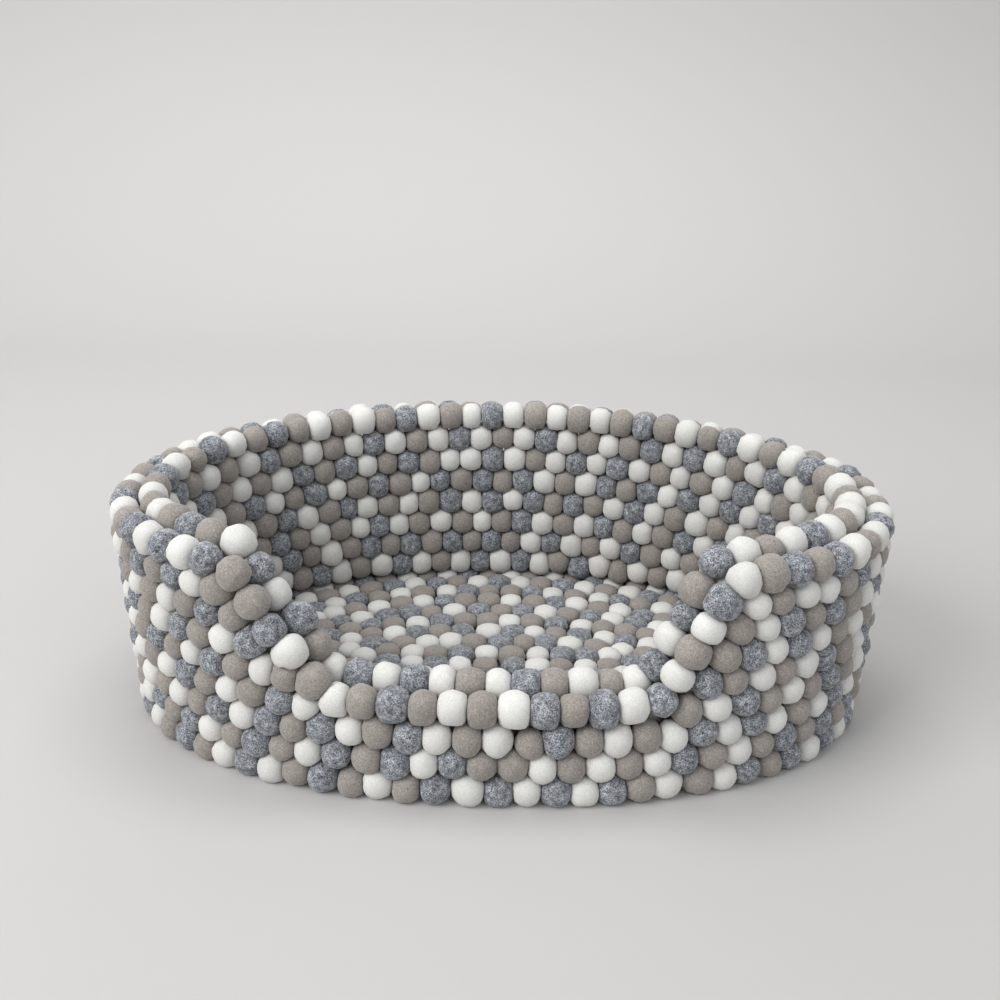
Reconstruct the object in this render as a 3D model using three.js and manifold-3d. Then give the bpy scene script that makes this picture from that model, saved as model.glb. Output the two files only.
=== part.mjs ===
// Oval pet bed sewn from courses of felted wool balls.
// A one-ball floor mat lies inside an outer wall layer. An inner wall layer stands on the edge
// of the mat, and each layer ends in a rim course of taller balls. The front dips to a low sill.
// Millimetres, +Z up, front at -Y, origin on the floor under the middle of the bed.

import * as THREE from 'three';
import { mergeVertices } from 'three/addons/utils/BufferGeometryUtils.js';
import Module from 'manifold-3d';

const wasm = await Module();
wasm.setup();

// Plan of the bed, measured to the centre line of the outer layer of balls
const HALF_LENGTH = 302;
const HALF_DEPTH = 188;
const FRONT_FULLNESS = 2.27;
const BACK_FULLNESS = 1.96;

// How far the walls lean outwards over the full wall height
const WALL_HEIGHT = 185;
const END_LEAN = 10;
const FRONT_LEAN = -12;
const BACK_LEAN = 0;

// How much lower the full wall height is at the front and at the ends than at the back
const FRONT_DROP = 10;
const END_DROP = 8;

// Felt balls
const BALL_PITCH = 21;
const BALL_RADIUS = 11.5;
const VALLEY_DEPTH = 5;
const LAYER_STEP = 23;
const PIECE_GAP = 0.3;

// Courses of the two wall layers, at the height that they have at the back
const OUTER_FIRST_COURSE = 11.2;
const OUTER_COURSE_STEP = 21.6;
const OUTER_COURSES = 8;
const INNER_COURSE_STEP = 21.9;
const INNER_COURSES = 7;

// Floor mat
const MAT_THICKNESS = 22;
const MAT_SADDLE_DEPTH = 3;
const MAT_PITCH = 22;
const MAT_RINGS = 8;

// Rim courses of taller balls, and the entrance that they follow
const OUTER_RIM_HEIGHT = 183;
const INNER_RIM_HEIGHT = 188;
const RIM_HALF_HEIGHT = 14;
const RIM_HALF_WIDTH = 10.8;
const RIM_NECK = 0.72;
const RIM_SIDES = 6;
const RIM_SEAT_GAP = 0.6;
const OUTER_SILL_HEIGHT = 76;
const INNER_SILL_HEIGHT = 82;
const LEFT_ENTRANCE = { sillHalf: 131, slopeRun: 69 };
const RIGHT_ENTRANCE = { sillHalf: 117, slopeRun: 50 };
const CORNER_SOFTNESS = 10;

// Fineness of the plan curve, and how many of its steps a rim ball reaches over at most
const CURVE_STEPS = 1440;
const SEAT_STEPS = 30;
const TURN = 2 * Math.PI;
const FRONT_TURN = -Math.PI / 2;

// How far a cutting solid reaches past what it cuts, and the distance that makes points one
const CUT_OVERRUN = 40;
const MERGE_DISTANCE = 1e-4;

// Felt colours
const MIXED_FELT = 0xb1ada9;
const MIXED_FELT_SHADED = 0xa39f99;
const MAT_FELT = 0x9d9890;
const RIM_FELT = 0xbab6b1;

/** Half length, half depth and fullness of the plan at a turn and a level. */
function ovalSizes(turn, level) {
  const rise = level / WALL_HEIGHT;
  const atFront = Math.sin(turn) < 0;
  return {
    halfLength: HALF_LENGTH + END_LEAN * rise,
    halfDepth: HALF_DEPTH + (atFront ? FRONT_LEAN : BACK_LEAN) * rise,
    power: atFront ? FRONT_FULLNESS : BACK_FULLNESS,
  };
}

/** Point of the plan at a turn and a level, moved outwards along the wall's normal. */
function planPoint(turn, level, offset) {
  const { halfLength, halfDepth, power } = ovalSizes(turn, level);
  const cos = Math.cos(turn);
  const sin = Math.sin(turn);
  const unitX = Math.sign(cos) * Math.abs(cos) ** (2 / power);
  const unitY = Math.sign(sin) * Math.abs(sin) ** (2 / power);
  const normal = new THREE.Vector2(
    (Math.sign(unitX) * Math.abs(unitX) ** (power - 1)) / halfLength,
    (Math.sign(unitY) * Math.abs(unitY) ** (power - 1)) / halfDepth,
  ).normalize();
  return new THREE.Vector2(unitX * halfLength, unitY * halfDepth).addScaledVector(normal, offset);
}

/** Real height of a level that a wall has at the back, from the bottom of that wall. */
function heightAt(turn, level, bottom) {
  const toBack = planPoint(turn, 0, 0).y / HALF_DEPTH;
  const drop = (FRONT_DROP * (1 - toBack)) / 2 + END_DROP * (1 - toBack * toBack);
  return bottom + (level - bottom) * (1 - drop / WALL_HEIGHT);
}

/** Point of a wall at a turn, a level and an outward offset. */
function wallPoint(turn, level, offset, bottom) {
  const plan = planPoint(turn, level, offset);
  return new THREE.Vector3(plan.x, plan.y, heightAt(turn, level, bottom));
}

/** Turns at even distances along a path that starts at the middle of the front. */
function evenTurns(path, count) {
  const turns = [];
  const lengths = [0];
  let last = path(FRONT_TURN);
  for (let step = 1; step <= CURVE_STEPS; step += 1) {
    const next = path(FRONT_TURN + (step / CURVE_STEPS) * TURN);
    lengths.push(lengths[step - 1] + next.distanceTo(last));
    last = next;
  }
  let step = 0;
  for (let index = 0; index < count; index += 1) {
    const wanted = (index / count) * lengths[CURVE_STEPS];
    while (lengths[step + 1] <= wanted) {
      step += 1;
    }
    const part = (wanted - lengths[step]) / (lengths[step + 1] - lengths[step]);
    turns.push(FRONT_TURN + ((step + part) / CURVE_STEPS) * TURN);
  }
  return turns;
}

/** Length of a closed path round the bed. */
function pathLength(path) {
  let length = 0;
  for (let step = 0; step < CURVE_STEPS; step += 1) {
    const here = path(FRONT_TURN + (step / CURVE_STEPS) * TURN);
    const next = path(FRONT_TURN + ((step + 1) / CURVE_STEPS) * TURN);
    length += here.distanceTo(next);
  }
  return length;
}

/** A closed mesh that is put together point by point. */
class MeshMaker {
  constructor() {
    this.points = [];
    this.faces = [];
  }

  point(position) {
    this.points.push(position.x, position.y, position.z);
    return this.points.length / 3 - 1;
  }

  ring(positions) {
    return positions.map((position) => this.point(position));
  }

  face(first, second, third) {
    this.faces.push(first, second, third);
  }

  /** Faces between two rings of equally many points, the second above or behind the first. */
  band(lower, upper) {
    lower.forEach((corner, index) => {
      const next = (index + 1) % lower.length;
      this.face(corner, lower[next], upper[next]);
      this.face(corner, upper[next], upper[index]);
    });
  }

  /** Faces between two chains of unlike counts, matched by their share of the way along. */
  zip(lower, upper) {
    let low = 0;
    let high = 0;
    while (low < lower.length - 1 || high < upper.length - 1) {
      const lowNext = lower[low + 1]?.share ?? Infinity;
      const highNext = upper[high + 1]?.share ?? Infinity;
      if (lowNext <= highNext) {
        this.face(lower[low].corner, lower[low + 1].corner, upper[high].corner);
        low += 1;
      } else {
        this.face(lower[low].corner, upper[high + 1].corner, upper[high].corner);
        high += 1;
      }
    }
  }

  /** Faces from a ring to a point in its middle, facing up or down. */
  cap(ring, middle, up) {
    const centre = this.point(middle);
    ring.forEach((corner, index) => {
      const next = ring[(index + 1) % ring.length];
      if (up) {
        this.face(corner, next, centre);
      } else {
        this.face(next, corner, centre);
      }
    });
  }

  geometry() {
    const geometry = new THREE.BufferGeometry();
    geometry.setAttribute('position', new THREE.Float32BufferAttribute(this.points, 3));
    geometry.setIndex(this.faces);
    return geometry;
  }
}

/** Solid for joining and cutting, from a closed geometry. */
function toSolid(geometry) {
  const merged = mergeVertices(geometry, MERGE_DISTANCE);
  return new wasm.Manifold(new wasm.Mesh({
    numProp: 3,
    vertProperties: new Float32Array(merged.attributes.position.array),
    triVerts: new Uint32Array(merged.index.array),
  }));
}

/** Geometry of a solid that was joined and cut. */
function toGeometry(solid) {
  const cut = solid.getMesh();
  const geometry = new THREE.BufferGeometry();
  geometry.setAttribute('position', new THREE.BufferAttribute(cut.vertProperties, 3));
  geometry.setIndex(new THREE.BufferAttribute(cut.triVerts, 1));
  geometry.computeVertexNormals();
  return geometry;
}

/**
 * Solid drum whose side is a lattice of ball fronts. Each ball is a peak among six valley
 * points that it shares with its neighbours, and courses are half a pitch apart sideways.
 */
function ballDrum({ valley, peak, count, first, step, courses, bottom, top, base }) {
  const mesh = new MeshMaker();
  const turns = evenTurns((turn) => planPoint(turn, 0, peak), 2 * count);
  const ringAt = (level, offset) => mesh.ring(turns.map((turn) => wallPoint(turn, level, offset, base)));
  const lowest = ringAt(bottom, valley);
  let below = lowest;
  for (let course = 0; course < courses; course += 1) {
    const level = first + course * step;
    const shift = course % 2;
    let above;
    if (course === courses - 1) {
      above = ringAt(top, valley);
    } else {
      above = mesh.ring(turns.map((turn, index) => {
        const overPeak = index % 2 === shift;
        return wallPoint(turn, level + (overPeak ? 2 : 1) * (step / 3), valley, base);
      }));
    }
    for (let ball = 0; ball < count; ball += 1) {
      const here = 2 * ball + shift;
      const left = (here + 2 * count - 1) % (2 * count);
      const right = (here + 1) % (2 * count);
      const apex = mesh.point(wallPoint(turns[here], level, peak, base));
      mesh.face(apex, below[left], below[here]);
      mesh.face(apex, below[here], below[right]);
      mesh.face(apex, below[right], above[right]);
      mesh.face(apex, above[right], above[here]);
      mesh.face(apex, above[here], above[left]);
      mesh.face(apex, above[left], below[left]);
    }
    below = above;
  }
  mesh.cap(below, new THREE.Vector3(0, 0, top), true);
  mesh.cap(lowest, new THREE.Vector3(0, 0, bottom), false);
  return toSolid(mesh.geometry());
}

/** Solid drum with a smooth side. */
function smoothDrum({ offset, bottom, top, base }) {
  const mesh = new MeshMaker();
  const low = mesh.ring(faceTurns.map((turn) => wallPoint(turn, bottom, offset, base)));
  const high = mesh.ring(faceTurns.map((turn) => wallPoint(turn, top, offset, base)));
  mesh.band(low, high);
  mesh.cap(high, new THREE.Vector3(0, 0, top), true);
  mesh.cap(low, new THREE.Vector3(0, 0, bottom), false);
  return toSolid(mesh.geometry());
}

/** Larger of two values, with a soft corner. */
function softMax(first, second) {
  return (first + second + Math.hypot(first - second, CORNER_SOFTNESS)) / 2;
}

/** Smaller of two values, with a soft corner. */
function softMin(first, second) {
  return -softMax(-first, -second);
}

/** Distance along the outer centre line from the middle of the front, for every curve step. */
function frontDistances() {
  const distances = [0];
  let last = planPoint(FRONT_TURN, 0, 0);
  for (let step = 1; step <= CURVE_STEPS; step += 1) {
    const next = planPoint(FRONT_TURN + (step / CURVE_STEPS) * TURN, 0, 0);
    distances.push(distances[step - 1] + next.distanceTo(last));
    last = next;
  }
  return distances.map((distance) => Math.min(distance, distances[CURVE_STEPS] - distance));
}

const FRONT_DISTANCES = frontDistances();

/** Distance of a turn from the middle of the front. */
function frontDistance(turn) {
  const place = ((((turn - FRONT_TURN) / TURN) % 1) + 1) % 1;
  const step = Math.floor(place * CURVE_STEPS);
  const part = place * CURVE_STEPS - step;
  return FRONT_DISTANCES[step] * (1 - part) + FRONT_DISTANCES[step + 1] * part;
}

/** Height of the middle of a rim ball at a turn: the rim, the slope or the sill. */
function rimHeight(turn, rim) {
  const full = heightAt(turn, rim.height, rim.base);
  const shoulder = heightAt(FRONT_TURN, rim.height, rim.base);
  const { sillHalf, slopeRun } = Math.cos(turn) < 0 ? LEFT_ENTRANCE : RIGHT_ENTRANCE;
  const past = frontDistance(turn) - sillHalf;
  const slope = rim.sill + (past * (shoulder - rim.sill)) / slopeRun;
  return softMin(full, softMax(rim.sill, slope));
}

/** Point on the centre line of a rim course. */
function rimPoint(turn, rim) {
  const height = rimHeight(turn, rim);
  const plan = planPoint(turn, height, rim.offset);
  return new THREE.Vector3(plan.x, plan.y, height);
}

/** Height of the seat under a rim course: the lowest reach of a ball rolled along it. */
function seatHeight(turn, rim) {
  const reach = RIM_HALF_HEIGHT + RIM_SEAT_GAP;
  const here = planPoint(turn, rim.height, rim.offset);
  const turnStep = TURN / CURVE_STEPS;
  let seat = rimHeight(turn, rim) - reach;
  for (let step = -SEAT_STEPS; step <= SEAT_STEPS; step += 1) {
    const other = turn + step * turnStep;
    const distance = planPoint(other, rim.height, rim.offset).distanceTo(here);
    if (distance < reach) {
      const drop = Math.sqrt(reach * reach - distance * distance);
      seat = Math.min(seat, rimHeight(other, rim) - drop);
    }
  }
  return seat;
}

/** Ring that cuts a wall layer down to the seat of its rim course. */
function seatCutter(rim) {
  const mesh = new MeshMaker();
  const clearHeight = rim.height + CUT_OVERRUN;
  const outside = rim.offset + CUT_OVERRUN;
  const inside = rim.offset - CUT_OVERRUN;
  const corner = (turn, offset, height) => {
    const plan = planPoint(turn, WALL_HEIGHT, offset);
    return new THREE.Vector3(plan.x, plan.y, height);
  };
  const seats = faceTurns.map((turn) => seatHeight(turn, rim));
  const outerLow = mesh.ring(faceTurns.map((turn, index) => corner(turn, outside, seats[index])));
  const outerHigh = mesh.ring(faceTurns.map((turn) => corner(turn, outside, clearHeight)));
  const innerHigh = mesh.ring(faceTurns.map((turn) => corner(turn, inside, clearHeight)));
  const innerLow = mesh.ring(faceTurns.map((turn, index) => corner(turn, inside, seats[index])));
  mesh.band(outerLow, outerHigh);
  mesh.band(outerHigh, innerHigh);
  mesh.band(innerHigh, innerLow);
  mesh.band(innerLow, outerLow);
  return toSolid(mesh.geometry());
}

/** Rim course: a string of taller balls, waisted where two of them press together. */
function rimCourse(rim) {
  const mesh = new MeshMaker();
  const path = (turn) => rimPoint(turn, rim);
  const balls = Math.round(pathLength(path) / BALL_PITCH);
  const turns = evenTurns(path, 2 * balls);
  const centres = turns.map(path);
  const rings = centres.map((centre, index) => {
    const before = centres[(index + centres.length - 1) % centres.length];
    const after = centres[(index + 1) % centres.length];
    const along = after.clone().sub(before).normalize();
    const out = new THREE.Vector3(along.y, -along.x, 0).normalize();
    const up = new THREE.Vector3().crossVectors(out, along);
    const size = index % 2 === 0 ? 1 : RIM_NECK;
    const points = [];
    for (let side = 0; side < RIM_SIDES; side += 1) {
      const angle = ((side + 0.5) / RIM_SIDES) * TURN;
      const across = (size * RIM_HALF_WIDTH * Math.cos(angle)) / Math.cos(Math.PI / RIM_SIDES);
      const upwards = size * RIM_HALF_HEIGHT * Math.sin(angle);
      points.push(centre.clone().addScaledVector(out, across).addScaledVector(up, upwards));
    }
    return mesh.ring(points);
  });
  rings.forEach((ring, index) => mesh.band(rings[(index + 1) % rings.length], ring));
  return mesh.geometry();
}

/** Oval of one ring of the floor mat, at a height, moved inwards from the mat's outer ring. */
function matPoint(turn, inwards, height) {
  const shrink = LAYER_STEP + inwards;
  const plan = planPoint(turn, 0, 0);
  const x = plan.x * (1 - shrink / HALF_LENGTH);
  const y = plan.y * (1 - shrink / HALF_DEPTH);
  return new THREE.Vector3(x, y, height);
}

/** Rings of points with their share of the way round, for joining rings of unlike counts. */
function matRing(mesh, inwards, count, heightOf) {
  const turns = evenTurns((turn) => matPoint(turn, inwards, 0), count);
  const links = turns.map((turn, index) => ({
    corner: mesh.point(matPoint(turn, inwards, heightOf(index))),
    share: index / count,
  }));
  return [...links, { corner: links[0].corner, share: 1 }];
}

/** Floor mat: one layer of balls, in oval rings round a straight middle row. */
function floorMat(edgeTurns) {
  const mesh = new MeshMaker();
  const valleyHeight = MAT_THICKNESS - VALLEY_DEPTH;
  const saddleHeight = MAT_THICKNESS - MAT_SADDLE_DEPTH;
  const edge = -(LAYER_STEP + PIECE_GAP) / 2;
  const edgeRing = (height) => mesh.ring(edgeTurns.map((turn) => {
    const plan = planPoint(turn, height, edge);
    return new THREE.Vector3(plan.x, plan.y, height);
  }));
  const bottom = edgeRing(0);
  const top = edgeRing(valleyHeight);
  mesh.cap(bottom, new THREE.Vector3(0, 0, 0), false);
  mesh.band(bottom, top);

  let outer = top.map((corner, index) => ({ corner, share: index / top.length }));
  outer.push({ corner: top[0], share: 1 });
  const ringStep = (HALF_DEPTH - LAYER_STEP) / MAT_RINGS;
  for (let ring = 0; ring < MAT_RINGS; ring += 1) {
    const inwards = ring * ringStep;
    const balls = Math.round(pathLength((turn) => matPoint(turn, inwards, 0)) / MAT_PITCH);
    const peaks = matRing(mesh, inwards, 2 * balls, (index) => (
      index % 2 === 0 ? MAT_THICKNESS : saddleHeight
    ));
    const valleys = matRing(mesh, inwards + ringStep / 2, balls, () => valleyHeight);
    mesh.zip(outer, peaks);
    mesh.zip(peaks, valleys);
    outer = valleys;
  }

  const rowHalfLength = HALF_LENGTH - HALF_DEPTH;
  const rowBalls = Math.round((2 * rowHalfLength) / MAT_PITCH);
  const row = [];
  for (let place = 0; place <= 2 * rowBalls; place += 1) {
    const share = place / (2 * rowBalls);
    const height = place % 2 === 1 ? MAT_THICKNESS : saddleHeight;
    const corner = mesh.point(new THREE.Vector3((2 * share - 1) * rowHalfLength, 0, height));
    row.push({ corner, share });
  }
  const steps = outer.length - 1;
  const quarter = Math.round(steps / 4);
  const link = (index, share) => ({ corner: outer[(index + steps) % steps].corner, share });
  const front = [];
  for (let index = -quarter; index <= quarter; index += 1) {
    front.push(link(index, (index + quarter) / (2 * quarter)));
  }
  const back = [];
  for (let index = quarter; index <= steps - quarter; index += 1) {
    back.push(link(index, (index - quarter) / (steps - 2 * quarter)));
  }
  mesh.zip(front, row);
  mesh.zip(back, row.toReversed().map(({ corner, share }) => ({ corner, share: 1 - share })));
  return mesh.geometry();
}

/** Named mesh with its own felt. */
function piece(name, geometry, colour) {
  geometry.computeVertexNormals();
  const felt = new THREE.MeshStandardMaterial({ color: colour, roughness: 0.95, metalness: 0 });
  const mesh = new THREE.Mesh(geometry, felt);
  mesh.name = name;
  return mesh;
}

const outerCentreLine = (turn) => planPoint(turn, 0, 0);
const innerCentreLine = (turn) => planPoint(turn, 0, -LAYER_STEP);
const outerBalls = Math.round(pathLength(outerCentreLine) / BALL_PITCH);
const innerBalls = Math.round(pathLength(innerCentreLine) / BALL_PITCH);
const innerBottom = MAT_THICKNESS + PIECE_GAP;
const faceTurns = evenTurns(outerCentreLine, outerBalls);

const outerRim = { height: OUTER_RIM_HEIGHT, sill: OUTER_SILL_HEIGHT, offset: 0, base: 0 };
const innerRim = {
  height: INNER_RIM_HEIGHT, sill: INNER_SILL_HEIGHT, offset: -LAYER_STEP, base: innerBottom,
};

/** Outer wall layer: ball fronts outside, plain where it lies against the inner layer. */
function outerWall() {
  const drum = ballDrum({
    valley: BALL_RADIUS - VALLEY_DEPTH,
    peak: BALL_RADIUS,
    count: outerBalls,
    first: OUTER_FIRST_COURSE,
    step: OUTER_COURSE_STEP,
    courses: OUTER_COURSES,
    bottom: 0,
    top: OUTER_RIM_HEIGHT,
    base: 0,
  });
  const hollow = smoothDrum({
    offset: -(LAYER_STEP - PIECE_GAP) / 2,
    bottom: -CUT_OVERRUN,
    top: OUTER_RIM_HEIGHT + CUT_OVERRUN,
    base: 0,
  });
  return toGeometry(drum.subtract(hollow).subtract(seatCutter(outerRim)));
}

/** Inner wall layer: it stands on the edge of the floor mat, with its ball fronts inside. */
function innerWall() {
  const drum = smoothDrum({
    offset: -(LAYER_STEP + PIECE_GAP) / 2,
    bottom: innerBottom,
    top: INNER_RIM_HEIGHT,
    base: innerBottom,
  });
  const hollow = ballDrum({
    valley: -LAYER_STEP - BALL_RADIUS + VALLEY_DEPTH,
    peak: -LAYER_STEP - BALL_RADIUS,
    count: innerBalls,
    first: innerBottom + BALL_RADIUS,
    step: INNER_COURSE_STEP,
    courses: INNER_COURSES,
    bottom: innerBottom - PIECE_GAP,
    top: INNER_RIM_HEIGHT + CUT_OVERRUN,
    base: innerBottom,
  });
  return toGeometry(drum.subtract(hollow).subtract(seatCutter(innerRim)));
}

const bed = new THREE.Group();
bed.add(
  piece('floor_mat', floorMat(faceTurns), MAT_FELT),
  piece('outer_wall', outerWall(), MIXED_FELT),
  piece('inner_wall', innerWall(), MIXED_FELT_SHADED),
  piece('outer_rim', rimCourse(outerRim), RIM_FELT),
  piece('inner_rim', rimCourse(innerRim), RIM_FELT),
);

export default bed;
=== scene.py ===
"""Oval pet bed sewn from felted wool balls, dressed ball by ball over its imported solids.

Every solid of the bed is replaced by the balls that it stands for: a floor mat, an outer and an
inner wall layer, and a rim course of taller balls on each layer. Metres, +Z up, front at -Y.
"""

import logging
import math
from collections.abc import Callable
from dataclasses import dataclass, field
from enum import Enum

import bmesh
import bpy
import numpy as np
from mathutils import Euler, Matrix, Vector


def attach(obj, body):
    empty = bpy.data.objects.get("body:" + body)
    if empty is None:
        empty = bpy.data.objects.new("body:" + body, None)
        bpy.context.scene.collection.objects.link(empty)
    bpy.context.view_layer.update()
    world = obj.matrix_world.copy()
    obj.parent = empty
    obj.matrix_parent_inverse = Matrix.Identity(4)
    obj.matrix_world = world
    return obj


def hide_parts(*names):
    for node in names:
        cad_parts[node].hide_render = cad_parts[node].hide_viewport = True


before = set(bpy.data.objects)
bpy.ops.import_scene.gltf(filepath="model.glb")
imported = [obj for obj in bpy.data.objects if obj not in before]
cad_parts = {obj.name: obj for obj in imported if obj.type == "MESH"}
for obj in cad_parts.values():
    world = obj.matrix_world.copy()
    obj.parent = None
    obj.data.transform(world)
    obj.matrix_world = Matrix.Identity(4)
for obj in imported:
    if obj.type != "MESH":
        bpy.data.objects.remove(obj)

LOG = logging.getLogger("pet_bed")
MM = 0.001
TURN = 2 * math.pi
FRONT_TURN = -math.pi / 2
CURVE_STEPS = 1440
NUDGE = TURN / CURVE_STEPS
FINE_TURNS = FRONT_TURN + np.linspace(0, TURN, CURVE_STEPS + 1)

# Attributes that each ball's points carry for its felt
COORDS = "wool_coords"
TONE = "wool_tone"

# Inputs and output of a Mix node that mixes colours
MIX_SHARE, MIX_UNDER, MIX_OVER, MIX_RESULT = 0, 6, 7, 2

Path = Callable[[np.ndarray], np.ndarray]
Place = tuple[float, float, float]
Setting = float | str | bool | tuple[float, ...]


def linear(code: str) -> tuple[float, float, float, float]:
    """Turns an sRGB hex colour into linear light, by the curve of the sRGB standard.

    Args:
        code: Six hex digits.

    Returns:
        Linear red, green and blue, and an alpha of one.
    """
    shares = [int(code[place:place + 2], 16) / 255 for place in (0, 2, 4)]
    light = [s / 12.92 if s <= 0.04045 else ((s + 0.055) / 1.055) ** 2.4 for s in shares]
    return light[0], light[1], light[2], 1.0


def add_node(
    tree: bpy.types.NodeTree,
    kind: str,
    settings: dict[str | int, Setting] | None = None,
    links: dict[str | int, bpy.types.NodeSocket] | None = None,
) -> bpy.types.Node:
    """Adds a node with its settings and its links.

    Args:
        tree: Node tree that gets the node.
        kind: Blender's name for the kind of node.
        settings: Values by the name of a property, or by the name or place of an input.
        links: Output sockets by the name or place of the input that they feed.

    Returns:
        The new node.
    """
    node = tree.nodes.new(kind)
    for name, value in (settings or {}).items():
        if isinstance(name, str) and hasattr(node, name):
            setattr(node, name, value)
        else:
            node.inputs[name].default_value = value
    for name, socket in (links or {}).items():
        tree.links.new(socket, node.inputs[name])
    return node


def unit(vectors: np.ndarray) -> np.ndarray:
    """Vectors of the same directions with a length of one."""
    return vectors / np.linalg.norm(vectors, axis=-1, keepdims=True)


def outward(along: np.ndarray) -> np.ndarray:
    """Level directions that point out of the bed, from those that run round it."""
    return unit(np.column_stack([along[:, 1], -along[:, 0], np.zeros(len(along))]))


def path_lengths(points: np.ndarray) -> np.ndarray:
    """Distances from the first point of a path to each of its points."""
    steps = np.linalg.norm(np.diff(points, axis=0), axis=1)
    return np.concatenate([[0.0], np.cumsum(steps)])


def even_turns(path: Path, pitch: float, multiple: int = 1, phase: float = 0.0) -> np.ndarray:
    """Turns at even distances along a closed path that starts at the middle of the front.

    Args:
        path: Gives a point for each turn.
        pitch: Wished distance, which is fitted to a whole number of steps.
        multiple: Number of turns for each step.
        phase: Share of a step by which the first turn is moved on.

    Returns:
        The turns, in order.
    """
    lengths = path_lengths(path(FINE_TURNS))
    count = round(lengths[-1] / pitch) * multiple
    wanted = (np.arange(count) + phase) / count * lengths[-1]
    return np.interp(wanted, lengths, FINE_TURNS)


@dataclass(frozen=True)
class Oval:
    """Plan of the bed and the heights of its walls, to the centre line of the outer balls."""

    half_length: float = 302 * MM
    half_depth: float = 188 * MM
    front_fullness: float = 2.27
    back_fullness: float = 1.96
    wall_height: float = 185 * MM
    end_lean: float = 10 * MM
    front_lean: float = -12 * MM
    front_drop: float = 10 * MM
    end_drop: float = 8 * MM

    def flat(self, turn: np.ndarray, level: np.ndarray | float, offset: float) -> np.ndarray:
        """Points of the plan, moved outwards along the wall's normal.

        Args:
            turn: Angles round the bed.
            level: Height on the wall, which leans.
            offset: Distance outwards from the outer centre line.

        Returns:
            One row of x and y for each turn.
        """
        rise = level / self.wall_height
        cos, sin = np.cos(turn), np.sin(turn)
        at_front = sin < 0
        half_length = self.half_length + self.end_lean * rise
        half_depth = self.half_depth + np.where(at_front, self.front_lean, 0.0) * rise
        power = np.where(at_front, self.front_fullness, self.back_fullness)
        unit_x = np.sign(cos) * np.abs(cos) ** (2 / power)
        unit_y = np.sign(sin) * np.abs(sin) ** (2 / power)
        normal_x = np.sign(unit_x) * np.abs(unit_x) ** (power - 1) / half_length
        normal_y = np.sign(unit_y) * np.abs(unit_y) ** (power - 1) / half_depth
        normal = unit(np.stack([normal_x, normal_y], axis=-1))
        return np.stack([unit_x * half_length, unit_y * half_depth], axis=-1) + normal * offset

    def foot(self, turn: np.ndarray) -> np.ndarray:
        """Points of the outer centre line at the floor."""
        return self.flat(turn, 0.0, 0.0)

    def height(self, turn: np.ndarray, level: float, bottom: float) -> np.ndarray:
        """Real heights of a level that a wall has at the back.

        Args:
            turn: Angles round the bed.
            level: Height at the back.
            bottom: Height of the wall's foot, which stays level.

        Returns:
            The heights, lower at the front and at the ends.
        """
        to_back = self.foot(turn)[:, 1] / self.half_depth
        drop = self.front_drop * (1 - to_back) / 2 + self.end_drop * (1 - to_back ** 2)
        return bottom + (level - bottom) * (1 - drop / self.wall_height)

    def wall_point(self, turn: np.ndarray, level: float, offset: float, bottom: float) -> np.ndarray:
        """Points of a wall at a level and an outward offset."""
        return np.column_stack([self.flat(turn, level, offset), self.height(turn, level, bottom)])

    def front_distance(self, turn: np.ndarray) -> np.ndarray:
        """Distances along the outer centre line from the middle of the front.

        Args:
            turn: Angles round the bed.

        Returns:
            The shorter way round for each turn.
        """
        lengths = path_lengths(self.foot(FINE_TURNS))
        found = np.interp((turn - FRONT_TURN) % TURN + FRONT_TURN, FINE_TURNS, lengths)
        return np.minimum(found, lengths[-1] - found)


class Felt(Enum):
    """The three felts that the balls are made of, by their slot in the record."""

    WHITE = "natural_white_felt"
    TAUPE = "taupe_felt"
    MARLED = "marled_grey_felt"


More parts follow.
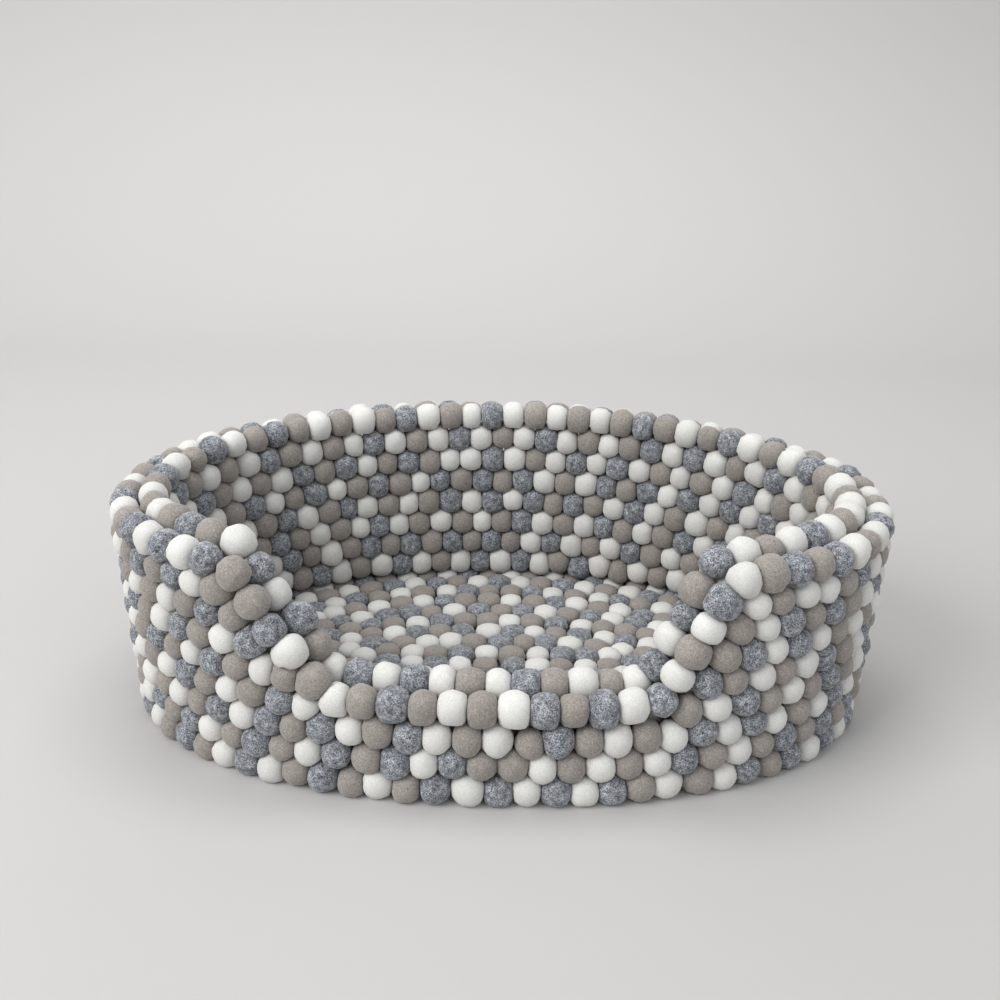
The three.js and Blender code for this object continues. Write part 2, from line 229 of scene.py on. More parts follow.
@dataclass(frozen=True)
class FeltFinish:
    """Look of one felt.

    Wet-felted wool is matt. Its curly fibres lie matted in all directions, and where light and
    dark wool were carded together, single fibres show as short curls over the mixed ground. The
    share is how much a fibre covers what is under it, and the mottle is how far the tone strays
    from patch to patch.
    """

    felt: Felt
    pale_ground: str
    dark_ground: str
    pale_fibre: str
    dark_fibre: str
    share: float
    mottle: float
    bump: float

    # Real wool fibres are about 0.02 mm thick and lie far closer than this. Flecks and fibres are
    # drawn coarser, so that they show at the size of a photo of the whole bed. Patches of unevenly
    # carded wool have their real size.
    fleck_size: float = 1.2 * MM
    fibre_spacing: float = 1.8 * MM
    patch_size: float = 5 * MM

    # Each noise is sharpened by the part of its range that is used
    fleck_range: tuple[float, float] = (0.36, 0.64)
    patch_range: tuple[float, float] = (0.3, 0.7)
    fleck_detail: float = 2.0
    fleck_roughness: float = 0.7
    soft_detail: float = 1.0
    fibre_width: float = 0.055
    curl: float = 1.2

    # Dark fibres lie a little further apart than pale ones. The layer keeps the two unlike.
    dark_layer: float = 1.0
    dark_coarseness: float = 1.2
    pale_layer: float = 2.0
    pale_coarseness: float = 1.0
    bump_height: float = 0.6 * MM

    # Air held between the fibres brings the IOR of wool, 1.55, down a little and leaves hardly any
    # gloss. The loose fibres on top give the soft light rim of a sheen.
    roughness: float = 0.95
    ior: float = 1.45
    gloss: float = 0.2
    sheen: float = 0.25
    sheen_roughness: float = 0.5

    def material(self) -> bpy.types.Material:
        """Builds the felt's material.

        Returns:
            A node material that reads each ball's own coordinates and tone.
        """
        made = bpy.data.materials.new(self.felt.value)
        made.use_nodes = True
        tree = made.node_tree
        tree.nodes.clear()
        coords = add_node(tree, "ShaderNodeAttribute", {"attribute_name": COORDS}).outputs["Vector"]
        flecks = add_node(
            tree, "ShaderNodeTexNoise",
            {"Scale": 1 / self.fleck_size, "Detail": self.fleck_detail, "Roughness": self.fleck_roughness},
            {"Vector": coords},
        ).outputs["Fac"]
        ground = self._ground(tree, flecks)
        dark = self._fibres(tree, coords, self.dark_layer, self.dark_coarseness)
        pale = self._fibres(tree, coords, self.pale_layer, self.pale_coarseness)
        under = self._mix(tree, dark, linear(self.dark_fibre), ground)
        over = self._mix(tree, pale, linear(self.pale_fibre), under)
        bump = add_node(
            tree, "ShaderNodeBump", {"Strength": self.bump, "Distance": self.bump_height},
            {"Height": flecks},
        )
        shader = add_node(
            tree, "ShaderNodeBsdfPrincipled",
            {
                "Roughness": self.roughness, "IOR": self.ior, "Specular IOR Level": self.gloss,
                "Sheen Weight": self.sheen, "Sheen Roughness": self.sheen_roughness,
            },
            {"Base Color": self._toned(tree, coords, over), "Normal": bump.outputs["Normal"]},
        )
        add_node(tree, "ShaderNodeOutputMaterial", {}, {"Surface": shader.outputs["BSDF"]})
        return made

    def _ground(
        self, tree: bpy.types.NodeTree, flecks: bpy.types.NodeSocket
    ) -> bpy.types.NodeSocket:
        """Adds the ground of dark and pale flecks.

        Args:
            tree: Node tree of the felt.
            flecks: Noise of the flecks.

        Returns:
            The colour of the ground.
        """
        low, high = self.fleck_range
        fleck_tone = add_node(
            tree, "ShaderNodeMapRange", {"From Min": low, "From Max": high}, {"Value": flecks}
        )
        return add_node(
            tree, "ShaderNodeMix",
            {
                "data_type": "RGBA", MIX_UNDER: linear(self.dark_ground),
                MIX_OVER: linear(self.pale_ground),
            },
            {MIX_SHARE: fleck_tone.outputs["Result"]},
        ).outputs[MIX_RESULT]

    def _fibres(
        self, tree: bpy.types.NodeTree, coords: bpy.types.NodeSocket, layer: float, coarse: float
    ) -> bpy.types.NodeSocket:
        """Adds one layer of curly fibres, which are the level lines of a noise.

        Args:
            tree: Node tree of the felt.
            coords: The ball's own coordinates.
            layer: Number that makes the layer unlike the others.
            coarse: Share by which its fibres lie further apart.

        Returns:
            One on a fibre and zero beside it.
        """
        noise = add_node(
            tree, "ShaderNodeTexNoise",
            {
                "noise_dimensions": "4D", "W": layer, "Scale": 1 / (self.fibre_spacing * coarse),
                "Detail": self.soft_detail, "Distortion": self.curl,
            },
            {"Vector": coords},
        )
        away = add_node(
            tree, "ShaderNodeMath", {"operation": "SUBTRACT", 1: 0.5}, {0: noise.outputs["Fac"]}
        )
        size = add_node(tree, "ShaderNodeMath", {"operation": "ABSOLUTE"}, {0: away.outputs["Value"]})
        near = add_node(
            tree, "ShaderNodeMapRange",
            {"interpolation_type": "SMOOTHSTEP", "From Min": self.fibre_width, "From Max": 0.0},
            {"Value": size.outputs["Value"]},
        )
        return near.outputs["Result"]

    def _mix(
        self, tree: bpy.types.NodeTree, fibre: bpy.types.NodeSocket, colour: tuple[float, ...],
        under: bpy.types.NodeSocket,
    ) -> bpy.types.NodeSocket:
        """Lays fibres of a colour over what is under them.

        Args:
            tree: Node tree of the felt.
            fibre: One on a fibre and zero beside it.
            colour: Colour of the fibres.
            under: Colour of what is under them.

        Returns:
            The mixed colour.
        """
        cover = add_node(tree, "ShaderNodeMath", {"operation": "MULTIPLY", 1: self.share}, {0: fibre})
        return add_node(
            tree, "ShaderNodeMix", {"data_type": "RGBA", MIX_OVER: colour},
            {MIX_SHARE: cover.outputs["Value"], MIX_UNDER: under},
        ).outputs[MIX_RESULT]

    def _toned(
        self, tree: bpy.types.NodeTree, coords: bpy.types.NodeSocket, colour: bpy.types.NodeSocket
    ) -> bpy.types.NodeSocket:
        """Varies a colour from patch to patch and from ball to ball.

        Args:
            tree: Node tree of the felt.
            coords: The ball's own coordinates.
            colour: Colour to vary.

        Returns:
            The varied colour.
        """
        patches = add_node(
            tree, "ShaderNodeTexNoise", {"Scale": 1 / self.patch_size, "Detail": self.soft_detail},
            {"Vector": coords},
        )
        low, high = self.patch_range
        patch_tone = add_node(
            tree, "ShaderNodeMapRange",
            {"From Min": low, "From Max": high, "To Min": 1 - self.mottle, "To Max": 1 + self.mottle},
            {"Value": patches.outputs["Fac"]},
        )
        ball_tone = add_node(tree, "ShaderNodeAttribute", {"attribute_name": TONE})
        tone = add_node(
            tree, "ShaderNodeMath", {"operation": "MULTIPLY"},
            {0: patch_tone.outputs["Result"], 1: ball_tone.outputs["Fac"]},
        )
        return add_node(
            tree, "ShaderNodeVectorMath", {"operation": "SCALE"},
            {0: colour, "Scale": tone.outputs["Value"]},
        ).outputs["Vector"]


FINISHES = (
    # Undyed white wool, wet-felted by rolling: a soft warm white that is nearly even, so that the
    # eye reads these balls by their shading alone
    FeltFinish(
        Felt.WHITE, pale_ground="D7D6D1", dark_ground="CBC9C4", pale_fibre="E2E1DD",
        dark_fibre="BFBDB8", share=0.4, mottle=0.02, bump=0.35,
    ),
    # Taupe wool of nearly one shade, wet-felted by rolling: a calm warm grey with a faint grain
    FeltFinish(
        Felt.TAUPE, pale_ground="9D9690", dark_ground="857F78", pale_fibre="B8B2AC",
        dark_fibre="6A645E", share=0.55, mottle=0.05, bump=0.3,
    ),
    # Near-black and pale wool carded together and wet-felted by rolling: a cool grey that breaks
    # up into pale and dark curls and cloudy patches
    FeltFinish(
        Felt.MARLED, pale_ground="94979D", dark_ground="494C52", pale_fibre="CBCDD0",
        dark_fibre="25272B", share=0.75, mottle=0.36, bump=0.35,
    ),
)


@dataclass
class Balls:
    """The balls of one region of the bed, each with a place, a way to lie and three radii.

    The radii, and the shares of a push by which a ball slides, are along its course, across it
    and towards the side that shows. A fullness of two makes an ellipsoid, and more makes a
    pillow. The top share is the part of its half thickness that is left on a ball's upper half,
    where it is trodden flat.
    """

    name: str
    centres: np.ndarray
    along: np.ndarray
    showing: np.ndarray
    radii: np.ndarray
    slides: tuple[float, float, float]
    fullness: float
    top_share: float = 1.0

    @property
    def axes(self) -> np.ndarray:
        """One matrix for each ball, with rows along its course, across it and to what shows."""
        across = np.cross(self.showing, self.along)
        return np.stack([self.along, across, self.showing], axis=1)


@dataclass
class Lattice:
    """Even places round one layer, half a ball apart, on which its courses take turns.

    They are even where the fronts of its balls show, on the side that the layer faces: outwards
    for one and inwards for minus one.
    """

    oval: Oval
    offset: float
    facing: float
    pitch: float = 21 * MM
    reach: float = 11.5 * MM

    @property
    def turns(self) -> np.ndarray:
        """Turns of all places, two for each ball of a course.

        Returns:
            The turns in order, from the middle of the front on.
        """
        centre_line = even_turns(lambda turn: self.oval.flat(turn, 0.0, self.offset), self.pitch)
        face = self.offset + self.facing * self.reach
        length = path_lengths(self.oval.flat(FINE_TURNS, 0.0, face))[-1]
        return even_turns(
            lambda turn: self.oval.flat(turn, 0.0, face), length / len(centre_line), multiple=2
        )


@dataclass
class RimCourse:
    """Course of taller balls along a layer's rim, down both slopes and over the sill.

    The height and the sill are those of its balls' middles, at the back and in the entrance. The
    shifts say which half step of the lattice its balls take on the rim and on the sill, so that
    they lie between the balls below.
    """

    name: str
    lattice: Lattice
    height: float
    sill: float
    base: float
    rim_shift: int
    sill_shift: int
    slope_pitch: float = 22 * MM
    half_height: float = 13.8 * MM
    half_width: float = 13.5 * MM
    half_thickness: float = 12.5 * MM
    fullness: float = 2.2
    slides: tuple[float, float, float] = (0.4, 0.0, 0.4)
    left_sill_half: float = 131 * MM
    left_slope_run: float = 69 * MM
    right_sill_half: float = 117 * MM
    right_slope_run: float = 50 * MM
    softness: float = 10 * MM
    level_margin: float = 6 * MM

    @property
    def oval(self) -> Oval:
        """Plan of the bed."""
        return self.lattice.oval

    def soft_max(self, first: np.ndarray, second: np.ndarray) -> np.ndarray:
        """Larger of two values, with a soft corner."""
        return (first + second + np.hypot(first - second, self.softness)) / 2

    def ball_height(self, turn: np.ndarray) -> np.ndarray:
        """Heights of the middle of the rim balls: the rim, a slope or the sill.

        Args:
            turn: Angles round the bed.

        Returns:
            The heights, with soft corners between slope, rim and sill.
        """
        full = self.oval.height(turn, self.height, self.base)
        shoulder = self.oval.height(np.array([FRONT_TURN]), self.height, self.base)[0]
        sill_half, slope_run = self._entrance(turn)
        past = self.oval.front_distance(turn) - sill_half
        slope = self.sill + past * (shoulder - self.sill) / slope_run
        return -self.soft_max(-full, -self.soft_max(np.full_like(slope, self.sill), slope))

    def _entrance(self, turn: np.ndarray) -> tuple[np.ndarray, np.ndarray]:
        """Sizes of the entrance on the side where each turn lies.

        Args:
            turn: Angles round the bed.

        Returns:
            Half widths of the sill, and runs of the slope.
        """
        at_left = np.cos(turn) < 0
        return (
            np.where(at_left, self.left_sill_half, self.right_sill_half),
            np.where(at_left, self.left_slope_run, self.right_slope_run),
        )

    def path(self, turn: np.ndarray) -> np.ndarray:
        """Points on the centre line of the course."""
        height = self.ball_height(turn)
        return np.column_stack([self.oval.flat(turn, height, self.lattice.offset), height])

    def ball_turns(self) -> np.ndarray:
        """Finds the places of the course's balls.

        Returns:
            Turns of places on the layer's lattice where the course is level, and of even places on
            its slopes.
        """
        turns = self.lattice.turns
        sill_half, slope_run = self._entrance(turns)
        distance = self.oval.front_distance(turns)
        half_steps = np.arange(len(turns)) % 2
        on_rim = (distance > sill_half + slope_run + self.level_margin) & (half_steps == self.rim_shift)
        on_sill = (distance < sill_half - self.level_margin) & (half_steps == self.sill_shift)
        lengths = path_lengths(self.path(FINE_TURNS))
        places = np.interp(turns[on_rim | on_sill], FINE_TURNS, lengths)
        filled = []
        for here, after in zip(places[:-1], places[1:], strict=True):
            count = max(round((after - here) / self.slope_pitch), 1)
            filled.append(here + np.arange(count) / count * (after - here))
        return np.interp(np.append(np.concatenate(filled), places[-1]), lengths, FINE_TURNS)

    def balls(self) -> Balls:
        """Places the balls of the course.

        Returns:
            Balls along the course, from the middle of the front on.
        """
        turns = self.ball_turns()
        along = unit(self.path(turns + NUDGE) - self.path(turns - NUDGE))
        up = np.cross(outward(along), along)
        radii = np.tile([self.half_width, self.half_thickness, self.half_height], (len(turns), 1))
        return Balls(self.name, self.path(turns), along, up, radii, self.slides, self.fullness)


@dataclass
class WallLayer:
    """One layer of a wall: courses of balls, each half a ball on from the one below."""

    name: str
    lattice: Lattice
    rim: RimCourse
    first: float
    step: float
    courses: int
    base: float
    half_width: float = 13.2 * MM
    half_height: float = 14.1 * MM
    half_thickness: float = 12.4 * MM
    fullness: float = 2.0
    slides: tuple[float, float, float] = (1.0, 1.0, 0.0)
    rim_clearance: float = 13.0 * MM

    def balls(self) -> Balls:
        """Places the balls of the layer that lie under its rim course.

        Returns:
            Balls of all courses, the lowest course first.
        """
        oval, offset, facing = self.lattice.oval, self.lattice.offset, self.lattice.facing
        rim = self.rim.balls().centres
        turns = self.lattice.turns
        centres, along = [], []
        for course in range(self.courses):
            level = self.first + course * self.step
            here = turns[course % 2::2]
            places = oval.wall_point(here, level, offset, self.base)
            ahead = oval.wall_point(here + NUDGE, level, offset, self.base)
            gaps = np.linalg.norm(places[:, None] - rim[None], axis=2).min(axis=1)
            kept = (places[:, 2] < self.rim.ball_height(here)) & (gaps > self.rim_clearance)
            centres.append(places[kept])
            along.append(unit(ahead - places)[kept])
        ways = np.concatenate(along)
        radii = np.tile([self.half_width, self.half_height, self.half_thickness], (len(ways), 1))
        return Balls(
            self.name, np.concatenate(centres), ways * facing, outward(ways) * facing, radii,
            self.slides, self.fullness,
        )


@dataclass
class FloorMat:
    """Floor of one layer of balls, in oval rings round a straight middle row.

    The layer step is how far the outermost ring, and the inner wall on it, lie inside the outer
    centre line. The rise is what is left of a ball above its middle, where it is trodden flat.
    """

    name: str
    oval: Oval
    layer_step: float = 23 * MM
    pitch: float = 22 * MM
    rings: int = 8
    half_width: float = 12.7 * MM
    half_depth: float = 12.3 * MM
    middle_height: float = 15.0 * MM
    rise: float = 6.8 * MM
    fullness: float = 2.0
    slides: tuple[float, float, float] = (1.0, 1.0, 0.0)

    def balls(self) -> Balls:
        """Places the balls of the mat.

        Returns:
            Balls of all rings from the outermost in, and of the middle row.
        """
        ring_step = (self.oval.half_depth - self.layer_step) / self.rings
        centres, along = [], []
        for ring in range(self.rings):
            shrink = self.layer_step + ring * ring_step
            size = np.array([1 - shrink / self.oval.half_length, 1 - shrink / self.oval.half_depth])
            turns = even_turns(
                lambda turn, size=size: self.oval.foot(turn) * size, self.pitch,
                phase=0.5 * (ring % 2),
            )
            here = self.oval.foot(turns) * size
            centres.append(here)
            along.append(unit(self.oval.foot(turns + NUDGE) * size - here))
        half_row = self.oval.half_length - self.oval.half_depth
        count = round(2 * half_row / self.pitch)
        places = ((np.arange(count) + 0.5) / count * 2 - 1) * half_row
        centres.append(np.column_stack([places, np.zeros(count)]))
        along.append(np.tile([1.0, 0.0], (count, 1)))
        flat = np.concatenate(centres)
        height = np.full(len(flat), self.middle_height)
        ways = np.column_stack([np.concatenate(along), np.zeros(len(flat))])
        ups = np.tile([0.0, 0.0, 1.0], (len(flat), 1))
        radii = np.tile([self.half_width, self.half_depth, self.middle_height], (len(flat), 1))
        return Balls(
            self.name, np.column_stack([flat, height]), ways, ups, radii, self.slides,
            self.fullness, self.rise / self.middle_height,
        )


@dataclass
class Sewing:
    """Settles the balls against each other, presses them together and deals out the felts."""

    regions: list[Balls]
    seed: int = 20

    # Shares by which balls, and their three radii, stray from the usual size
    size_spread: float = 0.04
    size_limits: tuple[float, float] = (-0.07, 0.06)
    stretch_spread: float = 0.03
    stretch_limit: float = 0.05

    # Settling: how far balls stray and reach, and how they push and are held in each round
    jitter: float = 1.3 * MM
    reach: float = 33 * MM
    tightness: float = 0.78
    give: float = 0.25
    hold: float = 0.12
    rounds: int = 40

    # Dealing: shares of the felts, and how much a ball dislikes its own felt beside it in its
    # course and in the next course
    shares: tuple[float, ...] = (0.42, 0.31, 0.27)
    touch_reach: float = 27 * MM
    course_rise: float = 6 * MM
    course_dislike: float = 3.5
    next_dislike: float = 1.1

    # Pressing: sharpness of the edges of pressed faces, overlap of two balls, and a few broad waves
    crease: float = 14.0
    bite: float = 0.3 * MM
    lump: float = 0.02
    lump_waves: int = 3
    lump_rate: float = 2.2

    # Balls: spread of their tones, and the few dozen faces of each
    tone_spread: float = 0.03
    segments: int = 16
    ring_angles: tuple[float, ...] = (0, 25, 49, 73, 97, 131, 180)

    random: np.random.Generator = field(init=False)
    region_of: np.ndarray = field(init=False)
    home: np.ndarray = field(init=False)
    centres: np.ndarray = field(init=False)
    axes: np.ndarray = field(init=False)
    radii: np.ndarray = field(init=False)
    slides: np.ndarray = field(init=False)
    fullness: np.ndarray = field(init=False)
    top_share: np.ndarray = field(init=False)

    def __post_init__(self) -> None:
        """Joins the regions' balls into one list and gives each its own size."""
        self.random = np.random.default_rng(self.seed)
        counts = [len(region.centres) for region in self.regions]
        self.region_of = np.repeat(np.arange(len(counts)), counts)
        self.home = np.concatenate([region.centres for region in self.regions])
        self.centres = self.home.copy()
        self.axes = np.concatenate([region.axes for region in self.regions])
        size = self.random.normal(0, self.size_spread, (len(self.home), 1)).clip(*self.size_limits)
        stretch = self.random.normal(0, self.stretch_spread, (len(self.home), 3))
        stretch = stretch.clip(-self.stretch_limit, self.stretch_limit)
        plain = np.concatenate([region.radii for region in self.regions])
        self.radii = plain * (1 + size + stretch)
        self.slides = np.repeat([region.slides for region in self.regions], counts, axis=0)
        self.fullness = np.repeat([region.fullness for region in self.regions], counts)
        self.top_share = np.repeat([region.top_share for region in self.regions], counts)

    def contacts(self) -> tuple[np.ndarray, np.ndarray]:
        """Finds the pairs of balls that can touch.

        Returns:
            First and second ball of each pair, with each pair both ways round.
        """
        apart = np.linalg.norm(self.home[:, None] - self.home[None], axis=2)
        np.fill_diagonal(apart, np.inf)
        return np.nonzero(apart < self.reach)

    def radius_towards(self, ball: np.ndarray, way: np.ndarray) -> np.ndarray:
        """Unpressed radii of balls in given directions."""
        return self.radius_along(ball, np.einsum("nij,nj->ni", self.axes[ball], way))

    def radius_along(self, ball: np.ndarray | int, local: np.ndarray) -> np.ndarray:
        """Unpressed radii along directions in the balls' own axes.

        Args:
            ball: The ball of each direction, or one ball for them all.
            local: Directions.

        Returns:
            One radius for each direction.
        """
        scaled = np.abs(local / self.radii[ball])
        scaled[:, 2] /= np.where(local[:, 2] > 0, self.top_share[ball], 1.0)
        power = np.reshape(self.fullness[ball], (-1, 1))
        return (scaled ** power).sum(axis=1) ** (-1 / power[:, 0])

    def settle(self) -> None:
        """Moves the balls apart where they crowd, as the thread lets them slide a little."""
        first, second = self.contacts()
        shift = self.random.normal(0, self.jitter, self.home.shape)
        self.home += self._sliding(shift)
        self.centres = self.home.copy()
        for _ in range(self.rounds):
            gap = self.centres[second] - self.centres[first]
            apart = np.linalg.norm(gap, axis=1)
            way = gap / apart[:, None]
            rest = self.radius_towards(first, way) + self.radius_towards(second, -way)
            crowding = np.maximum(rest * self.tightness - apart, 0)
            push = np.zeros_like(self.centres)
            np.add.at(push, first, -way * (crowding * self.give)[:, None])
            push += (self.home - self.centres) * self.hold
            self.centres += self._sliding(push)

    def _sliding(self, move: np.ndarray) -> np.ndarray:
        """The share of each move that a ball can make in its course and layer."""
        local = np.einsum("nij,nj->ni", self.axes, move) * self.slides
        return np.einsum("nij,ni->nj", self.axes, local)

    def deal(self) -> np.ndarray:
        """Gives each ball a felt, so that like felts seldom touch.

        Returns:
            Index of a felt for each ball.
        """
        count = len(Felt)
        felts = np.full(len(self.home), -1)
        first, second = self.contacts()
        same = self.region_of[first] == self.region_of[second]
        near = np.linalg.norm(self.home[first] - self.home[second], axis=1) < self.touch_reach
        first, second = first[same & near], second[same & near]
        starts = np.searchsorted(first, np.arange(len(self.home) + 1))
        for ball in range(len(self.home)):
            around = second[starts[ball]:starts[ball + 1]]
            around = around[felts[around] >= 0]
            rise = np.abs(self.home[around, 2] - self.home[ball, 2])
            dislike = np.where(rise < self.course_rise, self.course_dislike, self.next_dislike)
            cost = np.bincount(felts[around], weights=dislike, minlength=count)
            weights = np.exp(-cost) * self.shares
            felts[ball] = self.random.choice(count, p=weights / weights.sum())
        return felts

    def press(self, directions: np.ndarray) -> np.ndarray:
        """Shapes every ball: an egg with lumps, pressed where it meets others and the floor.

        Args:
            directions: Directions of a plain ball's points, in a ball's own axes.

        Returns:
            Points of every ball, in the frame's axes.
        """
        first, way, ours, plane = self._pressed_faces()
        points = np.empty((len(self.home), len(directions), 3))
        for ball in range(len(self.home)):
            world = directions @ self.axes[ball]
            radius = self.radius_along(ball, directions)
            waves = self.random.normal(0, 1.0, (self.lump_waves, 3))
            phases = self.random.uniform(0, TURN, self.lump_waves)
            lumps = np.sin(directions @ waves.T * self.lump_rate + phases).sum(axis=1)
            radius *= 1 + self.lump * lumps
            mine = first == ball
            facing = np.maximum(world @ way[mine].T, 0) ** self.crease
            flattening = plane[mine] ** -self.crease - ours[mine] ** -self.crease
            radius = (radius ** -self.crease + facing @ flattening) ** (-1 / self.crease)
            points[ball] = self.centres[ball] + world * radius[:, None]
        points[:, :, 2] = np.maximum(points[:, :, 2], 0)
        return points

    def _pressed_faces(self) -> tuple[np.ndarray, np.ndarray, np.ndarray, np.ndarray]:
        """Finds where balls press on each other and on the floor.

        Returns:
            For each pressed face its ball, the way that it faces, the ball's unpressed radius that
            way, and the distance of the face from the ball's middle.
        """
        first, second = self.contacts()
        gap = self.centres[second] - self.centres[first]
        apart = np.linalg.norm(gap, axis=1)
        way = gap / apart[:, None]
        ours = self.radius_towards(first, way)
        theirs = self.radius_towards(second, -way)
        plane = (apart ** 2 + ours ** 2 - theirs ** 2) / (2 * apart) + self.bite
        pressed = plane < ours
        down = np.tile([0.0, 0.0, -1.0], (len(self.home), 1))
        depth = self.radius_towards(np.arange(len(self.home)), down)
        low = np.nonzero(self.centres[:, 2] < depth)[0]
        return (
            np.concatenate([first[pressed], low]),
            np.concatenate([way[pressed], down[low]]),
            np.concatenate([ours[pressed], depth[low]]),
            np.concatenate([plane[pressed], self.centres[low, 2]]),
        )

    def plain_ball(self) -> bpy.types.Mesh:
        """Makes the round ball that every ball is pressed from, one unit in radius.

        Returns:
            Smooth mesh whose rings are closer on the half that shows, around its +Z.
        """
        mesh = bmesh.new()
        bands = len(self.ring_angles) - 1
        bmesh.ops.create_uvsphere(mesh, u_segments=self.segments, v_segments=bands, radius=1.0)
        even = np.linspace(0, math.pi, bands + 1)
        for vert in mesh.verts:
            polar = math.acos(max(-1.0, min(1.0, vert.co.z)))
            moved = float(np.interp(polar, even, np.radians(self.ring_angles)))
            flat = Vector((vert.co.x, vert.co.y, 0)).normalized() * math.sin(moved)
            vert.co = (flat.x, flat.y, math.cos(moved))
        for face in mesh.faces:
            face.smooth = True
        data = bpy.data.meshes.new("plain_ball")
        mesh.to_mesh(data)
        mesh.free()
        return data

    def sew(self, materials: dict[Felt, bpy.types.Material]) -> list[bpy.types.Object]:
        """Makes one joined piece for each region and felt.

        Args:
            materials: Material of each felt.

        Returns:
            The pieces.
        """
        self.settle()
        felts = self.deal()
        plain = self.plain_ball()
        directions = unit(np.array([vert.co[:] for vert in plain.vertices]))
        points = self.press(directions)
        pieces = []
        for place, region in enumerate(self.regions):
            for index, felt in enumerate(Felt):
                chosen = np.nonzero((self.region_of == place) & (felts == index))[0]
                name = f"{region.name}_{felt.name.lower()}_balls"
                data = self._joined(name, plain, points[chosen])
                self._grain(data, chosen, directions)
                data.materials.append(materials[felt])
                pieces.append(bpy.data.objects.new(name, data))
                bpy.context.scene.collection.objects.link(pieces[-1])
                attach(pieces[-1], "root")
                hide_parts(region.name)
                LOG.info("%s: %d balls", name, len(chosen))
        bpy.data.meshes.remove(plain)
        return pieces

    def _joined(self, name: str, plain: bpy.types.Mesh, points: np.ndarray) -> bpy.types.Mesh:
        """Joins balls into one mesh.

        Args:
            name: Name of the mesh.
            plain: Round ball that each ball is made from.
            points: Points of each ball.

        Returns:
            The new mesh.
        """
        mesh = bmesh.new()
        for _ in points:
            mesh.from_mesh(plain)
        data = bpy.data.meshes.new(name)
        mesh.to_mesh(data)
        mesh.free()
        data.vertices.foreach_set("co", points.ravel())
        data.update()
        return data

    def _grain(self, data: bpy.types.Mesh, chosen: np.ndarray, directions: np.ndarray) -> None:
        """Gives each ball of a mesh its own coordinates in the wool, and its own tone.

        Args:
            data: Mesh of the balls.
            chosen: Indices of the balls.
            directions: Directions of a plain ball's points.
        """
        coords = []
        for ball in chosen:
            turned = np.array(Euler(self.random.uniform(0, TURN, 3)).to_matrix())
            middle = self.random.uniform(-1, 1, 3)
            coords.append(directions @ turned * self.radii[ball].mean() + middle)
        tones = 1 + self.random.normal(0, self.tone_spread, len(chosen))
        held = data.attributes.new(COORDS, "FLOAT_VECTOR", "POINT")
        held.data.foreach_set("vector", np.concatenate(coords).ravel())
        held = data.attributes.new(TONE, "FLOAT", "POINT")
        held.data.foreach_set("value", np.repeat(tones, len(directions)))


@dataclass
class PetBed:
    """The whole bed: a mat and two wall layers, each of which ends in a rim course.

    Heights are those of the balls' middles, at the back.
    """

    oval: Oval = Oval()
    mat_top: float = 22.3 * MM
    outer_rim_height: float = 183 * MM
    outer_sill_height: float = 76 * MM
    outer_first: float = 11.2 * MM
    outer_step: float = 21.6 * MM
    outer_courses: int = 8
    inner_rim_height: float = 188 * MM
    inner_sill_height: float = 82 * MM
    inner_first: float = 33.5 * MM
    inner_step: float = 22.1 * MM
    inner_courses: int = 7
    inner_half_width: float = 13.8 * MM
    inner_half_height: float = 14.8 * MM
    inner_fullness: float = 2.2

    def regions(self) -> list[Balls]:
        """Places the balls of the whole bed.

        Returns:
            The five regions, named as the nodes that they replace.
        """
        mat = FloorMat("floor_mat", self.oval)
        outer_lattice = Lattice(self.oval, 0.0, 1.0)
        inner_lattice = Lattice(self.oval, -mat.layer_step, -1.0)
        outer_rim = RimCourse(
            "outer_rim", outer_lattice, self.outer_rim_height, self.outer_sill_height, 0.0,
            rim_shift=0, sill_shift=1,
        )
        inner_rim = RimCourse(
            "inner_rim", inner_lattice, self.inner_rim_height, self.inner_sill_height, self.mat_top,
            rim_shift=1, sill_shift=0,
        )
        outer_wall = WallLayer(
            "outer_wall", outer_lattice, outer_rim, self.outer_first, self.outer_step,
            self.outer_courses, 0.0,
        )
        inner_wall = WallLayer(
            "inner_wall", inner_lattice, inner_rim, self.inner_first, self.inner_step,
            self.inner_courses, self.mat_top, half_width=self.inner_half_width,
            half_height=self.inner_half_height, fullness=self.inner_fullness,
        )
        return [part.balls() for part in (mat, outer_wall, inner_wall, outer_rim, inner_rim)]


@dataclass(frozen=True)
class SoftBox:
    """A square soft light, with its side in metres and its power in watts."""

    name: str
    place: Place
    target: Place
    side: float
    power: float

    def build(self) -> None:
        """Adds the light to the scene."""
        lamp = bpy.data.lights.new(self.name, "AREA")
        lamp.size = self.side
        lamp.energy = self.power
        light = bpy.data.objects.new(self.name, lamp)
        light.location = self.place
        ahead = Vector(self.target) - Vector(self.place)
        light.rotation_euler = ahead.to_track_quat("-Z", "Y").to_euler()
        bpy.context.scene.collection.objects.link(light)


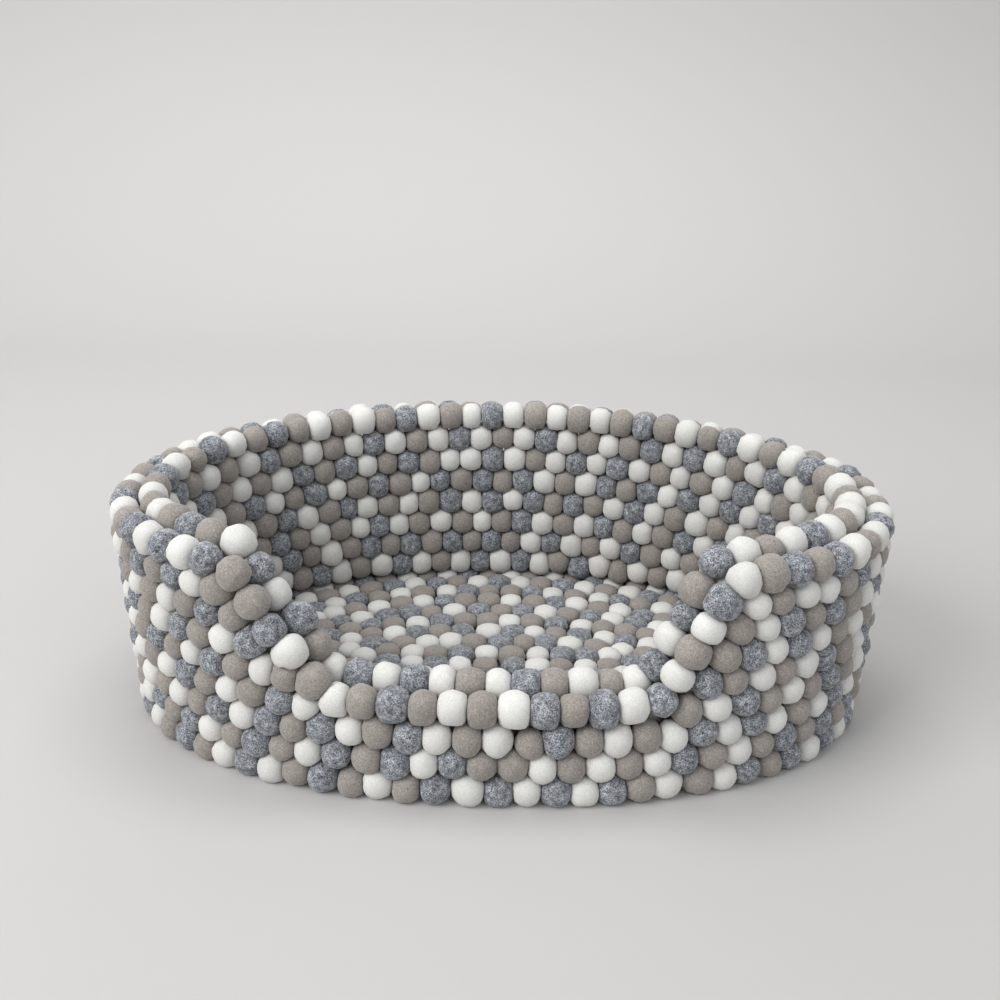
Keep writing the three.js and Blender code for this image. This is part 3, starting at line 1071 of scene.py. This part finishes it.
@dataclass
class Studio:
    """Plain pale floor that curves up into a backdrop, soft light and the camera."""

    floor_colour: str = "BAB8B6"
    floor_roughness: float = 0.7
    half_width: float = 12.0
    front: float = -12.0
    back: float = 1.1
    sweep: float = 0.7
    sweep_steps: int = 12
    wall_top: float = 4.0
    sink: float = 0.2 * MM

    # Daylight from the upper left, a little from the right, and a wash on the backdrop
    lights: tuple[SoftBox, ...] = (
        SoftBox("key", (-1.9, -1.2, 1.9), (0.0, 0.0, 0.0), 1.7, 55.0),
        SoftBox("fill", (1.6, -1.6, 1.6), (0.0, 0.0, 0.0), 2.0, 6.0),
        SoftBox("backdrop_light", (0.0, 0.7, 2.6), (0.0, 1.8, 1.0), 1.5, 32.0),
    )
    sky_colour: str = "F3F6FA"
    sky_strength: float = 0.76
    exposure: float = 0.06
    gamma: float = 0.945

    # The camera looks down at the front of the bed, and is tilted sideways a little
    camera_place: Place = (-1.6 * MM, -827.7 * MM, 500.6 * MM)
    camera_down: float = math.radians(22.04)
    camera_roll: float = math.radians(1.1)
    lens: float = 37.8

    def build(self) -> None:
        """Builds the floor, the lights and the camera."""
        self._floor()
        for light in self.lights:
            light.build()
        self._sky()
        self._camera()

    def _floor(self) -> None:
        """Floor and backdrop in one sheet, extruded along a curve at the back."""
        mesh = bmesh.new()
        start = [mesh.verts.new((x, self.front, -self.sink)) for x in (-self.half_width, self.half_width)]
        edges = [mesh.edges.new(start)]
        profile = [(self.back, 0.0)]
        for step in range(1, self.sweep_steps + 1):
            angle = step / self.sweep_steps * math.pi / 2
            across = self.back + self.sweep * math.sin(angle)
            profile.append((across, self.sweep * (1 - math.cos(angle))))
        profile.append((self.back + self.sweep, self.wall_top))
        for y, z in profile:
            made = bmesh.ops.extrude_edge_only(mesh, edges=edges)["geom"]
            edges = [item for item in made if isinstance(item, bmesh.types.BMEdge)]
            for vert in (item for item in made if isinstance(item, bmesh.types.BMVert)):
                vert.co = (vert.co.x, y, z - self.sink)
        for face in mesh.faces:
            face.smooth = True
        bmesh.ops.recalc_face_normals(mesh, faces=mesh.faces)
        data = bpy.data.meshes.new("floor")
        mesh.to_mesh(data)
        mesh.free()
        data.materials.append(self._paint())
        floor = bpy.data.objects.new("floor", data)
        bpy.context.scene.collection.objects.link(floor)

    def _paint(self) -> bpy.types.Material:
        """Makes matt pale paint, rolled on, which gives the eye nothing but the bed's soft shadow.

        Returns:
            The material.
        """
        painted = bpy.data.materials.new("painted_floor")
        painted.use_nodes = True
        shader = painted.node_tree.nodes["Principled BSDF"]
        shader.inputs["Base Color"].default_value = linear(self.floor_colour)
        shader.inputs["Roughness"].default_value = self.floor_roughness
        return painted

    def _sky(self) -> None:
        """Even light from all around, and how the picture is developed."""
        world = bpy.data.worlds.new("studio")
        world.use_nodes = True
        background = world.node_tree.nodes["Background"]
        background.inputs["Color"].default_value = linear(self.sky_colour)
        background.inputs["Strength"].default_value = self.sky_strength
        bpy.context.scene.world = world
        view = bpy.context.scene.view_settings
        view.view_transform = "Standard"
        view.exposure = self.exposure
        view.gamma = self.gamma

    def _camera(self) -> None:
        """Adds the camera, looking down at the bed from the front."""
        data = bpy.data.cameras.new("camera")
        data.lens = self.lens
        camera = bpy.data.objects.new("camera", data)
        tilt = Matrix.Rotation(math.pi / 2 - self.camera_down, 4, "X")
        roll = Matrix.Rotation(self.camera_roll, 4, "Z")
        camera.matrix_world = Matrix.Translation(self.camera_place) @ tilt @ roll
        bpy.context.scene.collection.objects.link(camera)
        bpy.context.scene.camera = camera


def main() -> None:
    """Builds the bed and its studio."""
    logging.basicConfig(level=logging.INFO, format="%(name)s: %(message)s")
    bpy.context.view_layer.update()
    materials = {finish.felt: finish.material() for finish in FINISHES}
    pieces = Sewing(PetBed().regions()).sew(materials)
    LOG.info("%d pieces", len(pieces))
    Studio().build()


if __name__ == "__main__":
    main()
